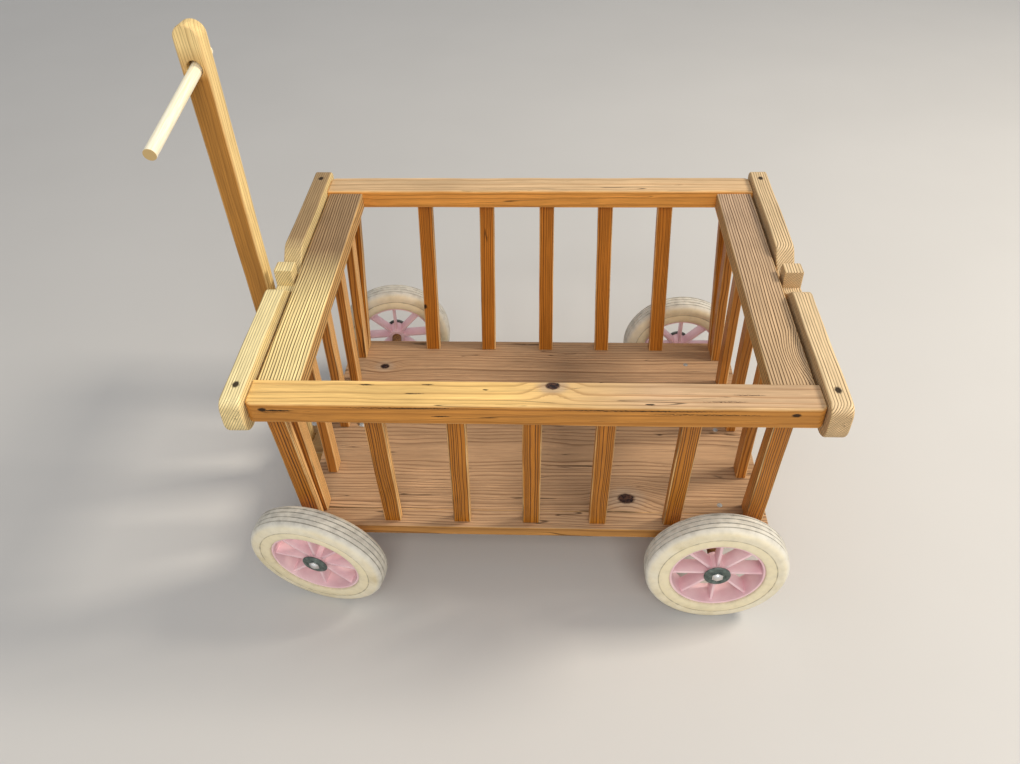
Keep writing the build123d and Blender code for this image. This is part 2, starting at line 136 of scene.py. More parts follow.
lamp_rows = [
    # name, place, watts, size, colour
    ("key", (2.6, 0.3, 2.6), 82.0, 0.8, "#FFF3E0"),
    ("fill", (0.3, -2.6, 2.5), 46.0, 1.6, "#FFF8EE"),
]
lamps_aim = Vector((0, 0, 0.2))
for name, place, watts, size, colour in lamp_rows:
    light = bpy.data.lights.new(name, "AREA")
    light.energy = watts
    light.size = size
    light.color = paint(colour)[:3]
    lamp = bpy.data.objects.new(name, light)
    lamp.location = place
    lamp.rotation_euler = (lamps_aim - Vector(place)).to_track_quat("-Z", "Y").to_euler()
    bpy.context.collection.objects.link(lamp)

bpy.context.scene.view_settings.view_transform = "Standard"


# Floor boards
# The wagon is built on a floor of old pine: a wide panel and a narrow strip along its near edge.
# Rain and sun have bleached it grey brown, and it is screwed to the beam of the rear axle.


def pine(name, side, top, late, ring, pith, wander=14.0, line=0.8, cracks=0.5, rough=0.6, uneven=2.0,
         worn=0.4, bleach_and_sun_side=(0, 0, 1), aged=None, tip=None, knots=(), nails=()):
    """Softwood with rings round the pith, its fibres along the first number of the grain attribute.
    top colours the faces turned to the given side, and side the others. On faces turned up this is bleaching
    by sun and rain; on the slats and the drawbar, whose given side is the key lamp's side, it is painted
    sunlight. aged is the top's colour further along, and tip is where an end begins that is bleached all
    round. Knots are (along, across, up, radius) and nails (along, across, up, half length, half width), in
    metres."""
    finish, tree, shader = new_finish(name)
    grain = add_node(tree, "Attribute", out="Vector", attribute_name="grain")
    # growth isn't even: the fibres wander by a few mm in patches of 200 by 60 mm
    slow = add_node(tree, "Mapping", {"Vector": grain, "Scale": (5.0, 16.0, 16.0)})
    drift = add_node(tree, "TexNoise", {"Vector": slow, "Scale": 1.0, "Detail": 2.0}, "Color")
    drift = add_node(tree, "VectorMath", {0: drift, 1: (0.5, 0.5, 0.5)}, operation="SUBTRACT")
    sway = (0.0, wander * MM, wander * MM)
    bent = add_node(tree, "VectorMath", {0: drift, 1: sway, 2: grain}, operation="MULTIPLY_ADD")
    # knots and holes have outlines that are ragged every 4 mm
    crumb = add_node(tree, "TexNoise", {"Vector": grain, "Scale": 260.0, "Detail": 2.0}, "Color")
    shift = add_node(tree, "VectorMath", {0: crumb, 1: (0.5, 0.5, 0.5)}, operation="SUBTRACT")
    ragged = (0.004, 0.0022, 0.0022)
    ragged = add_node(tree, "VectorMath", {0: shift, 1: ragged, 2: grain}, operation="MULTIPLY_ADD")
    # the rings part and close again round each knot, which has a dark core in a bleached halo
    fields = None
    for x, y, z, r in knots:
        off = add_node(tree, "VectorMath", {0: ragged, 1: (x, y, z)}, operation="SUBTRACT")
        flat = add_node(tree, "VectorMath", {0: off, 1: (0.8, 1.0, 1.0)}, operation="MULTIPLY")
        far = add_node(tree, "VectorMath", {0: flat}, "Value", operation="LENGTH")
        made = []
        for start, end, most, fall in ((0.4, 5.0, r * 1.3, "SMOOTHSTEP"), (0.75, 1.05, 1.0, "LINEAR"),
                                       (1.2, 2.6, 0.7, "SMOOTHSTEP")):
            reach = {"Value": far, "From Min": r * start, "From Max": r * end, "To Min": most, "To Max": 0.0}
            made.append(add_node(tree, "MapRange", reach, interpolation_type=fall))
        if fields:
            made = [add_node(tree, "Math", {0: a, 1: b}, operation="MAXIMUM") for a, b in zip(fields, made)]
        fields = made
    swirl, core, halo = fields or (None, None, None)
    centred = add_node(tree, "VectorMath", {0: bent, 1: (0.0, pith[0], pith[1])}, operation="SUBTRACT")
    flat = add_node(tree, "VectorMath", {0: centred, 1: (0.0, 1.0, 1.0)}, operation="MULTIPLY")
    radius = add_node(tree, "VectorMath", {0: flat}, "Value", operation="LENGTH")
    if knots:
        radius = add_node(tree, "Math", {0: swirl, 1: radius}, operation="ADD")
    count = add_node(tree, "Math", {0: radius, 1: ring}, operation="DIVIDE")
    # the years differ: rings are wider and narrower in turn
    years = add_node(tree, "TexNoise", {"W": count, "Scale": 0.35, "Detail": 1.0}, noise_dimensions="1D")
    count = add_node(tree, "Math", {0: years, 1: uneven, 2: count}, operation="MULTIPLY_ADD")
    season = add_node(tree, "Math", {0: count}, operation="FRACT")
    # early wood is pale, and late wood darkens slowly and ends at once
    late_wood = add_node(tree, "FloatCurve", {"Value": season})
    curve = late_wood.node.mapping.curves[0]
    curve.points[0].location = (0.0, 0.3)
    curve.points[1].location = (1.0, 0.45)
    for x, y in ((0.1, 0.0), (0.55, 0.06), (0.82, 0.75), (0.94, 1.0)):
        curve.points.new(x, y)
    late_wood.node.mapping.update()
    # fibres are drawn 0.8 mm apart, coarser than real so that they show, and streaks 8 mm apart
    fine = add_node(tree, "Mapping", {"Vector": bent, "Scale": (22.0, 1300.0, 1300.0)})
    fibre = add_node(tree, "TexNoise", {"Vector": fine, "Scale": 1.0, "Detail": 2.0})
    wide = add_node(tree, "Mapping", {"Vector": bent, "Scale": (4.0, 120.0, 120.0)})
    streak = add_node(tree, "TexNoise", {"Vector": wide, "Scale": 1.0, "Detail": 3.0})
    strength = add_node(tree, "MapRange", {"Value": streak, "From Min": 0.3, "From Max": 0.62,
                                           "To Min": line * 0.45, "To Max": line})
    lines = add_node(tree, "Math", {0: late_wood, 1: strength}, operation="MULTIPLY")
    # sun and rain bleach the faces that are turned to them; where the given side is the key lamp's side, as
    # on the slats and the drawbar, the paler colour is painted sunlight instead
    normal = add_node(tree, "TexCoord", out="Normal")
    facing = add_node(tree, "VectorMath", {0: normal, 1: tuple(bleach_and_sun_side)}, "Value", operation="DOT_PRODUCT")
    bleach_and_sunlit_mask = add_node(tree, "MapRange", {"Value": facing, "From Min": 0.35, "From Max": 0.9})
    place = add_node(tree, "SeparateXYZ", {0: bent})
    if tip is not None:
        bleached = add_node(tree, "MapRange", {"Value": place, "From Min": tip[0], "From Max": tip[1]})
        bleach_and_sunlit_mask = add_node(tree, "Math", {0: bleach_and_sunlit_mask, 1: bleached}, operation="MAXIMUM")
    top_colour = paint(top)
    if aged is not None:
        colour, start, end = aged
        later = add_node(tree, "MapRange", {"Value": place, "From Min": start, "From Max": end})
        top_colour = add_node(tree, "Mix", {0: later, 6: top_colour, 7: paint(colour)}, 2, data_type="RGBA")
    base = add_node(tree, "Mix", {0: bleach_and_sunlit_mask, 6: paint(side), 7: top_colour}, 2, data_type="RGBA")
    if knots:
        base = add_node(tree, "Mix", {0: halo, 6: base, 7: paint("#B9A28B")}, 2, data_type="RGBA")
    grained = add_node(tree, "Mix", {0: lines, 6: base, 7: paint(late)}, 2, data_type="RGBA")
    # corners are rubbed pale in patches of 140 by 30 mm
    cloud = add_node(tree, "Mapping", {"Vector": grain, "Scale": (7.0, 30.0, 30.0)})
    patch = add_node(tree, "TexNoise", {"Vector": cloud, "Scale": 1.0, "Detail": 5.0, "Roughness": 0.6})
    edge = add_node(tree, "Attribute", out="Fac", attribute_name="edge")
    rub = add_node(tree, "MapRange", {"Value": patch, "From Min": 0.35, "From Max": 0.6, "To Max": worn})
    rub = add_node(tree, "Math", {0: edge, 1: rub}, operation="MULTIPLY", use_clamp=True)
    grained = add_node(tree, "Mix", {0: rub, 6: grained, 7: paint("#EBC98F")}, 2, data_type="RGBA")
    # light and dark come and go with the fibres, the streaks and the patches
    shade = None
    for pattern, spread, dark, pale in ((fibre, 0.25, 0.80, 1.16), (streak, 0.2, 0.86, 1.12),
                                        (patch, 0.2, 0.86, 1.12)):
        tone = add_node(tree, "MapRange", {"Value": pattern, "From Min": 0.5 - spread,
                                           "From Max": 0.5 + spread, "To Min": dark, "To Max": pale})
        if shade is not None:
            tone = add_node(tree, "Math", {0: shade, 1: tone}, operation="MULTIPLY")
        shade = tone
    colour = add_node(tree, "VectorMath", {0: grained, "Scale": shade}, operation="SCALE")
    # drying cracks run with the grain, half a metre long at most and 17 mm apart where there are any
    split = add_node(tree, "Mapping", {"Vector": bent, "Scale": (2.2, 60.0, 60.0)})
    split = add_node(tree, "TexNoise", {"Vector": split, "Scale": 1.0, "Detail": 1.0})
    near = add_node(tree, "Math", {0: split, 1: 0.5}, operation="SUBTRACT")
    near = add_node(tree, "Math", {0: near}, operation="ABSOLUTE")
    crack = add_node(tree, "MapRange", {"Value": near, "From Min": 0.002, "From Max": 0.007,
                                        "To Min": 1.0, "To Max": 0.0})
    where = add_node(tree, "MapRange", {"Value": patch, "From Min": 0.62 - 0.2 * cracks,
                                        "From Max": 0.68 - 0.2 * cracks})
    crack = add_node(tree, "Math", {0: crack, 1: where}, operation="MULTIPLY")
    deep = add_node(tree, "Math", {0: crack, 1: 0.7}, operation="MULTIPLY")
    # nail holes and the long cracks that start from them
    for x, y, z, half_long, half_wide in nails:
        off = add_node(tree, "VectorMath", {0: ragged, 1: (x, y, z)}, operation="SUBTRACT")
        squash = (half_wide / half_long, 1.0, 1.0)
        flat = add_node(tree, "VectorMath", {0: off, 1: squash}, operation="MULTIPLY")
        far = add_node(tree, "VectorMath", {0: flat}, "Value", operation="LENGTH")
        dark = add_node(tree, "MapRange", {"Value": far, "From Min": half_wide * 0.7,
                                           "From Max": half_wide * 1.2, "To Min": 0.95, "To Max": 0.0})
        deep = add_node(tree, "Math", {0: deep, 1: dark}, operation="MAXIMUM")
    if knots:
        burr = add_node(tree, "ValToRGB", {"Fac": crumb.node.outputs["Fac"]},
                        stops=((0.44, "#221819"), (0.66, "#553A2E")))
        colour = add_node(tree, "Mix", {0: core, 6: colour, 7: burr}, 2, data_type="RGBA")
    colour = add_node(tree, "Mix", {0: deep, 6: colour, 7: paint("#1E130B")}, 2, data_type="RGBA")
    # late wood stands proud by a third of a mm at most, and cracks are cut in
    height = add_node(tree, "Math", {0: fibre, 1: 0.35, 2: lines}, operation="MULTIPLY_ADD")
    height = add_node(tree, "Math", {0: deep, 1: -2.5, 2: height}, operation="MULTIPLY_ADD")
    relief = add_node(tree, "Bump", {"Height": height, "Strength": 0.55, "Distance": 0.0006})
    # weathered wood has lost its gloss
    dull = add_node(tree, "MapRange", {"Value": bleach_and_sunlit_mask, "To Min": rough, "To Max": rough + 0.15})
    set_inputs(shader, {"Base Color": colour, "Normal": relief, "Roughness": dull, "IOR": 1.45,
                        "Specular IOR Level": 0.22})
    return finish


def new_timber():
    """An empty bmesh with a layer that says where its corners are rubbed."""
    bm = bmesh.new()
    bm.verts.layers.float.new("edge")
    return bm


def squared(low, high):
    """A squared timber between two corners."""
    bm = new_timber()
    bmesh.ops.create_cube(bm, size=1.0)
    bmesh.ops.scale(bm, verts=bm.verts, vec=high - low)
    bmesh.ops.translate(bm, verts=bm.verts, vec=(low + high) / 2)
    return bm


def bevel(bm, edges, radius, segments):
    """Rounds edges, and gives what was made."""
    return bmesh.ops.bevel(bm, geom=edges, offset=radius, segments=segments, profile=0.5, affect="EDGES",
                           material=-1)


def sharp_edges(bm):
    """The edges of a timber that are still square."""
    return [e for e in bm.edges if e.calc_face_angle(0) > math.radians(60)]


def ease(bm, edges, radius, segments=3):
    """Rounds edges and marks the middle of each round as rubbed."""
    rubbed = bm.verts.layers.float["edge"]
    made = bevel(bm, edges, radius, segments)
    eased = set(made["faces"])
    for v in made["verts"]:
        if all(f in eased for f in v.link_faces):
            v[rubbed] = 1.0


def wave_edges(bm, along, step, amount, seed=0.0):
    """Cuts a timber across every step and shifts its edges a little, as planed and worn wood is."""
    spots = [v.co.dot(along) for v in bm.verts]
    place = min(spots) + step
    while place < max(spots) - step * 0.5:
        everything = bm.verts[:] + bm.edges[:] + bm.faces[:]
        bmesh.ops.bisect_plane(bm, geom=everything, plane_co=along * place, plane_no=along, dist=1e-6)
        place += step
    for v in bm.verts:
        drift = noise.noise_vector(v.co * 14.0 + Vector((seed, 0, 0)))
        v.co += (drift - along * drift.dot(along)) * amount


def shaded_mesh(bm, name, finish, sharp_angle):
    """Closes the bmesh into a mesh of one finish, smooth but for its sharp edges."""
    bmesh.ops.remove_doubles(bm, verts=bm.verts, dist=1e-6)
    bmesh.ops.recalc_face_normals(bm, faces=bm.faces)
    mesh = bpy.data.meshes.new(name)
    bm.to_mesh(mesh)
    bm.free()
    mesh.materials.append(finish)
    mesh.shade_smooth()
    mesh.set_sharp_from_angle(angle=math.radians(sharp_angle))
    return mesh


def lay_timber(bm, name, wood, body, nodes, start, along, across, shift=(0, 0, 0)):
    """Makes the bmesh a piece of the wagon, inside the box of its node, and lays its grain.
    start is the grain's zero, along runs with the fibres, and shift moves the piece through the log."""
    low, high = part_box(nodes[0])
    for v in bm.verts:
        v.co = Vector([min(max(v.co[k], low[k]), high[k]) for k in range(3)])
    mesh = shaded_mesh(bm, name, wood, 40)
    thick = along.cross(across)
    grain = mesh.attributes.new("grain", "FLOAT_VECTOR", "POINT")
    for v in mesh.vertices:
        spot = v.co - start
        place = Vector((spot.dot(along), spot.dot(across), spot.dot(thick)))
        grain.data[v.index].vector = place + Vector(shift)
    piece = bpy.data.objects.new(name, mesh)
    bpy.context.collection.objects.link(piece)
    piece.modifiers.new("flat_faces", "WEIGHTED_NORMAL").keep_sharp = True
    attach(piece, body)
    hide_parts(*nodes)


# Blender seeds this noise from the clock, so it is set: the edges wear in the same way on each run
noise.seed_set(7)
ALONG_X = Vector((1, 0, 0))
ALONG_Y = Vector((0, 1, 0))
ALONG_Z = Vector((0, 0, 1))

floor_pine = pine(
    "weathered pine boards", "#C08A4C", "#BD9A78", "#5F4028", ring=5.0 * MM, pith=(0.150, -0.030),
    line=0.66, wander=15.0, cracks=0.75, rough=0.72,
    knots=[(0.469, 0.058, 0.017, 0.011), (0.068, 0.353, 0.017, 0.007)],
)
# the strip is sawn from another plank, so its grain doesn't run on from the panel's
strip_shift = 0.212
floor_low = Vector(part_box("floor_strip")[0])
for node_name, plank_shift in (("floor_strip", strip_shift), ("floor_panel", 0.0)):
    low, high = (Vector(c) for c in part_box(node_name))
    bm = squared(low, high)
    ease(bm, bm.edges[:], 1.2 * MM)
    wave_edges(bm, ALONG_X, 60 * MM, 0.25 * MM)
    lay_timber(bm, node_name + "_board", floor_pine, "wagon", [node_name], floor_low, ALONG_X, ALONG_Y,
               (0, plank_shift, 0))

# Side rails
# The two long rails are 45 by 30 mm pine, oiled once and now honey brown, bleached on top by the sun.
# Their outer corners are rounded, and a nail at each end has left a black stain.
near_rail_nails = [
    # along, in, up, half length, half width
    (0.021, 0.0, 0.0205, 0.0050, 0.0030), (0.038, 0.0, 0.0195, 0.0190, 0.0012),
    (0.641, 0.0, 0.0205, 0.0055, 0.0028), (0.190, 0.0, 0.0255, 0.0800, 0.0008),
    (0.460, 0.0, 0.0250, 0.1000, 0.0008), (0.540, 0.0, 0.0200, 0.0700, 0.0006),
    (0.232, 0.0, 0.0130, 0.0120, 0.0008), (0.140, 0.036, 0.030, 0.0090, 0.0011),
    (0.213, 0.037, 0.030, 0.0070, 0.0010), (0.198, 0.021, 0.030, 0.0120, 0.0009),
    (0.283, 0.029, 0.030, 0.0030, 0.0012), (0.474, 0.006, 0.030, 0.0060, 0.0014),
    (0.590, 0.024, 0.030, 0.0180, 0.0007), (0.560, 0.012, 0.030, 0.0250, 0.0006),
]
far_rail_nails = [(0.030, 0.045, 0.016, 0.0035, 0.0035), (0.640, 0.045, 0.016, 0.0035, 0.0035)]
near_rail_knots = [(0.362, 0.037, 0.030, 0.0075)]
rail_rows = [
    # name, side, side colour, top colour, aged, knots, nails
    ("near", -1, "#C68840", "#F4CC84", ("#CBAB88", 0.30, 0.48), near_rail_knots, near_rail_nails),
    ("far", 1, "#EBA552", "#D9B990", None, [], far_rail_nails),
]


def runs(edge, axis):
    """Whether an edge runs along the axis of that number."""
    a, b = (v.co for v in edge.verts)
    return abs((a - b).normalized()[axis]) > 0.9


for name, side, side_colour, top_colour, aged, knots, nails in rail_rows:
    node_name = "side_rail_" + name
    wood = pine("oiled pine " + name + " rail", side_colour, top_colour, "#85511F", ring=6.5 * MM,
                pith=(0.085, -0.045), wander=9.0, line=0.5, cracks=0.6, rough=0.5, aged=aged,
                knots=knots, nails=nails)
    low, high = (Vector(c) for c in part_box(node_name))
    bm = squared(low, high)
    mid_y = (low.y + high.y) / 2
    bevel(bm, [e for e in bm.edges if runs(e, 2) and (e.verts[0].co.y - mid_y) * side > 0], 9 * MM, 6)
    ease(bm, [e for e in sharp_edges(bm) if min(v.co.z for v in e.verts) > high.z - 1 * MM], 3.6 * MM, 4)
    ease(bm, sharp_edges(bm), 2.0 * MM)
    wave_edges(bm, ALONG_X, 26 * MM, 0.8 * MM, side * 3.0)
    lay_timber(bm, "rail_" + name + "_timber", wood, "wagon", [node_name], low, ALONG_X, ALONG_Y)

# End rails
# A flat pine board lies between the side rails at each end, where hands and rain reach it.
# Its soft wood has worn away between the dark lines, which stand up like a washboard.
end_rail_rows = [
    # name, top colour, aged, knots
    ("front", "#FFEAAC", ("#A68A6A", 0.16, 0.29), []),
    ("rear", "#CCAE8A", ("#C3A78C", 0.10, 0.40), [(0.060, -0.067, 0.026, 0.010)]),
]
for name, top_colour, aged, knots in end_rail_rows:
    node_name = "end_rail_" + name
    wood = pine("washboard pine " + name, "#CFA468", top_colour, "#4F3722", ring=3.1 * MM,
                pith=(0.12, -0.08), wander=7.0, line=1.3, uneven=0.6, cracks=0.3, rough=0.7, aged=aged,
                knots=knots)
    low, high = (Vector(c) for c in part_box(node_name))
    bm = squared(low, high)
    ease(bm, bm.edges[:], 2.0 * MM)
    wave_edges(bm, ALONG_Y, 40 * MM, 0.4 * MM, 7.0)
    lay_timber(bm, node_name + "_timber", wood, "wagon", [node_name], low, ALONG_Y, -ALONG_X)

# End boards
# A scalloped board closes each end of the rails: high at both sides, sunk in the middle round a square nub.
# The grain stands on edge, so its lines run along the top and on round the rounded ends.
# in mm: half the nub, half the valley's bottom and its top, and how deep it is sunk
nub_half, sunk_half, shoulder, sunk = 12, 27, 55, 25
half_outline = [(nub_half, 0), (nub_half, -sunk), (sunk_half, -sunk), (shoulder, 0)]
end_board_nails = [(0.034, 0.058, 0.013, 0.0058, 0.0042), (0.535, 0.058, 0.013, 0.0058, 0.0042)]
end_board_rows = [
    # name, side colour, top colour, aged, ring, pith, line
    ("front", "#F3DCA2", "#FFEFB8", ("#AE936E", 0.26, 0.36), 2.8 * MM, (-0.06, 0.16), 0.78),
    ("rear", "#DDBD90", "#EBD1A8", ("#DDC39C", 0.10, 0.45), 2.3 * MM, (-0.05, 0.10), 1.0),
]


def thicken(bm, depth):
    """Draws a flat outline out by depth."""
    raised = bmesh.ops.extrude_face_region(bm, geom=bm.faces[:])
    moved = [v for v in raised["geom"] if isinstance(v, bmesh.types.BMVert)]
    bmesh.ops.translate(bm, verts=moved, vec=depth)
    bmesh.ops.recalc_face_normals(bm, faces=bm.faces)


for name, side_colour, top_colour, aged, ring, pith, line in end_board_rows:
    node_name = "end_board_" + name
    wood = pine("sun bleached pine " + name + " board", side_colour, top_colour, "#4B321E", ring, pith,
                wander=6.0, line=line, uneven=0.6, cracks=0.2, rough=0.68, aged=aged, nails=end_board_nails)
    low, high = (Vector(c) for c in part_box(node_name))
    board_half = (high.y - low.y) / 2
    right = [(x * MM, high.z + z * MM) for x, z in half_outline]
    outline = [(-board_half, low.z), (board_half, low.z), (board_half, high.z)]
    outline += right[::-1] + [(-x, z) for x, z in right] + [(-board_half, high.z)]
    bm = new_timber()
    bm.faces.new([bm.verts.new((low.x, y, z)) for y, z in outline])
    thicken(bm, (high.x - low.x, 0, 0))
    near_low, near_high = low.z + 1 * MM, high.z - 1 * MM
    for lower, radius in ((True, 26 * MM), (False, 14 * MM)):
        bevel(bm, [e for e in bm.edges if runs(e, 0) and abs(e.verts[0].co.y) > board_half - 1 * MM
                   and (e.verts[0].co.z < near_low) == lower
                   and (lower or e.verts[0].co.z > near_high)], radius, 8)
    past_nub, past_shoulder = (nub_half + 1) * MM, (shoulder + 1) * MM
    bevel(bm, [e for e in bm.edges if runs(e, 0) and past_nub < abs(e.verts[0].co.y) < past_shoulder
               and e.verts[0].co.z > near_low], 7 * MM, 4)
    bevel(bm, [e for e in bm.edges if runs(e, 0) and abs(e.verts[0].co.y) < past_nub
               and e.verts[0].co.z > near_high], 2.5 * MM, 2)
    ease(bm, [e for e in sharp_edges(bm) if abs((e.verts[0].co - e.verts[1].co).x) < 1 * MM], 2.4 * MM)
    bmesh.ops.translate(bm, verts=bm.verts, vec=(0, (low.y + high.y) / 2, 0))
    wave_edges(bm, ALONG_Y, 25 * MM, 1.0 * MM, 11.0)
    lay_timber(bm, node_name + "_timber", wood, "wagon", [node_name], low, ALONG_Y, ALONG_Z)

# Slats
# Twenty-four slats of 24 by 15 mm pine stand on the floor and lean out to the rails, seven on a side and five
# across each end. Under the rails they have kept their deep orange varnish, so the grain shows dark in it.
slat_rows = [
    # group, side colour, late colour, share of line, nails
    ("near", "#BB7625", "#451D02", 1.25, []),
    ("far", "#C0782A", "#5F2F08", 1.0, [(5.922, 0.001, 0.0375, 0.0045, 0.0035)]),
    ("end", "#C88339", "#66360C", 0.9, []),
]
slat_pine = {}
for group, side_colour, late_colour, line, nails in slat_rows:
    # the faces turned to +X, where the key lamp shines, get the paler #EDBB7A: painted sunlight on the slats'
    # lit side
    slat_pine[group] = pine("varnished pine %s slats" % group, side_colour, "#EDBB7A", late_colour,
                            ring=2.7 * MM, pith=(0.22, 0.15), wander=8.0, line=line, cracks=0.35,
                            rough=0.42, worn=0.85, bleach_and_sun_side=(1, 0, 0), nails=nails)
slat_w = 24 * MM
slat_t = 15 * MM
slats_a_side = 7
# foot and top of each end slat, in mm across from the wagon's middle line
end_slat_rows = [(-174, -210), (-99, -108), (0, 0), (99, 108), (174, 210)]


def ends_of(node_name):
    """The middle of a node's foot and of its top."""
    spots = [v.co for v in frame["nodes"][node_name].data.vertices]
    out = []
    for z in (min(v.z for v in spots), max(v.z for v in spots)):
        ring = [v for v in spots if abs(v.z - z) < 0.1 * MM]
        out.append(Vector(((min(v.x for v in ring) + max(v.x for v in ring)) / 2,
                           (min(v.y for v in ring) + max(v.y for v in ring)) / 2, z)))
    return out


# name, node, group, foot, top, direction of the 24 mm side
slats = []
for side in ("near", "far"):
    for k in range(1, slats_a_side + 1):
        node_name = "slat_%s_%d" % (side, k)
        slats.append(("side_" + node_name, node_name, side, *ends_of(node_name), ALONG_X))
for end in ("front", "rear"):
    node_name = "end_slats_" + end
    low, high = (Vector(c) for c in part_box(node_name))
    mid_x = (low.x + high.x) / 2
    for k, (foot_y, top_y) in enumerate(end_slat_rows):
        foot = Vector((mid_x, foot_y * MM + MID_Y, low.z))
        top = Vector((mid_x, top_y * MM + MID_Y, high.z))
        slats.append(("%s_end_slat_%d" % (end, k + 1), node_name, "end", foot, top, ALONG_Y))
for count, (name, node_name, group, foot, top, facing) in enumerate(slats):
    bm = new_timber()
    bmesh.ops.create_cube(bm, size=1.0)
    deep = ALONG_Z.cross(facing)
    # each slat is cut level at both ends
    for v in bm.verts:
        v.co = (top if v.co.z > 0 else foot) + facing * (v.co.x * slat_w) + deep * (v.co.y * slat_t)
    ease(bm, bm.edges[:], 1.8 * MM)
    along = (top - foot).normalized()
    wave_edges(bm, along, 45 * MM, 0.4 * MM, foot.x * 9)
    across = (facing - along * along.dot(facing)).normalized()
    # no two are sawn from the same place in the log
    log_place = (count * 0.73, 0.011 * (count * 7 % 5), 0.009 * (count * 5 % 7))
    lay_timber(bm, name, slat_pine[group], "wagon", [node_name], foot, along, across, log_place)

# Axle beams and tongue
# Plain sawn pine bars carry the axles. The front one turns on a bolt, and two cheeks with a block between
# them are fixed under it as a tongue. All sizes are in mm from the kingpin.
joints = {j["name"]: j for j in frame["joints"]}
steer_at = Vector(joints["steering"]["pos_m"])
turn_y = -Vector(joints["drawbar_fold"]["axis"]).normalized()
turn_x = turn_y.cross(ALONG_Z)
under_pine = pine("sawn pine beams", "#C09257", "#C2A274", "#7C5127", ring=4.0 * MM, pith=(0.02, -0.05),
                  line=0.6, cracks=0.4, rough=0.75)


def turned(spot):
    """A place given in mm from below the kingpin, turned with the front axle."""
    x, y, z = spot
    return Vector((steer_at.x, steer_at.y, 0)) + (turn_x * x + turn_y * y + ALONG_Z * z) * MM


def lay_turned(bm, name, node_name, low, along, across, log_place):
    """Turns a bar drawn in mm from the kingpin with the front axle, and lays its timber."""
    for v in bm.verts:
        v.co = turned(v.co / MM)
    lay_timber(bm, name, under_pine, "front_axle", [node_name], turned(low), along, across,
               (log_place, 0, 0))


low, high = (Vector(c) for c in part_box("rear_beam"))
bm = squared(low, high)
ease(bm, bm.edges[:], 1.5 * MM)
wave_edges(bm, ALONG_Y, 50 * MM, 0.3 * MM)
lay_timber(bm, "rear_axle_beam", under_pine, "wagon", ["rear_beam"], low, ALONG_Y, ALONG_X)

beam_half_x, beam_half_y = 20, 206
beam_low, beam_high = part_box("front_beam")[0][2] / MM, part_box("front_beam")[1][2] / MM
low = Vector((-beam_half_x, -beam_half_y, beam_low))
high = Vector((beam_half_x, beam_half_y, beam_high))
bm = squared(low * MM, high * MM)
ease(bm, bm.edges[:], 1.5 * MM)
lay_turned(bm, "front_axle_beam", "front_beam", low, turn_y, turn_x, 2)

tongue_high = 28
tongue_rows = [
    # node, near face, far face, front, back
    ("tongue_cheek_near", -31.5, -13.5, -124, 20),
    ("tongue_cheek_far", 13.5, 31.5, -124, 20),
    ("tongue_block", -13.5, 13.5, -93.5, -22),
]
for k, (node_name, near_y, far_y, front_x, back_x) in enumerate(tongue_rows):
    low = Vector((front_x, near_y, beam_low - tongue_high))
    high = Vector((back_x, far_y, beam_low))
    bm = squared(low * MM, high * MM)
    if "cheek" in node_name:
        nose = [e for e in bm.edges if runs(e, 1) and e.verts[0].co.x < (front_x + 1) * MM]
        bevel(bm, nose, 13 * MM, 8)
    ease(bm, sharp_edges(bm), 1.2 * MM, 2)
    lay_turned(bm, node_name + "_timber", node_name, low, turn_x, turn_y, 3 + k)

# Drawbar
# The drawbar is a tapered pine bar with a rounded head, kept upright against the front board when parked.
# It is held between the tongue's cheeks by a bolt, and a drilled hole in its head takes the handle rod.
pivot_at = Vector(joints["drawbar_fold"]["pos_m"])
tilt = math.radians(-1.5)
bar_up = (ALONG_Z * math.cos(tilt) + turn_x * math.sin(tilt)).normalized()
bar_fore = turn_y.cross(bar_up)
# the drawbar's side turned to the wagon, where the key lamp shines, and a little of its head's top get the
# pale #FBDD9C: painted sunlight
bar_pine = pine("honey pine drawbar", "#BE863F", "#FBDD9C", "#6E4116", ring=3.4 * MM, pith=(0.07, 0.03),
                line=0.48, wander=9.0, cracks=0.35, rough=0.5, worn=0.5,
                bleach_and_sun_side=(bar_fore + bar_up * 0.5).normalized(), tip=(0.630, 0.672))
foot_r, head_r, head_round, bar_len = 13.5, 17.0, 16.0, 696.0
bar_t, rod_up, hole_r = 25.0, 644.0, 9.8
arc_steps = 14
bar_arcs = [
    # middle, radius along the bar, half width, where the arc starts in half turns
    (0.0, foot_r, foot_r, 0.5), (bar_len - head_round, head_round, head_r, -0.5),
]
outline = []
for middle, radius, half_width, start in bar_arcs:
    for k in range(arc_steps + 1):
        a = math.pi * (start + k / arc_steps)
        outline.append((middle + radius * math.cos(a), half_width * math.sin(a)))
bm = new_timber()
rim = [bm.verts.new((x * MM, y * MM, 0)) for x, y in outline]
for a, b in zip(rim, rim[1:] + rim[:1]):
    bm.edges.new((a, b))
hole_at = Matrix.Translation((rod_up * MM, 0, 0))
bmesh.ops.create_circle(bm, segments=32, radius=hole_r * MM, matrix=hole_at)
bmesh.ops.triangle_fill(bm, use_beauty=True, edges=bm.edges[:])
thicken(bm, (0, 0, bar_t * MM))
ease(bm, [e for e in sharp_edges(bm) if abs(e.verts[0].co.z - e.verts[1].co.z) < 0.1 * MM], 3.2 * MM, 4)
for v in bm.verts:
    v.co = pivot_at + bar_up * v.co.x + bar_fore * v.co.y + turn_y * (v.co.z - bar_t * MM / 2)
wave_edges(bm, bar_up, 45 * MM, 0.5 * MM, 2.0)
lay_timber(bm, "drawbar_timber", bar_pine, "drawbar", ["drawbar"], pivot_at, bar_up, bar_fore)

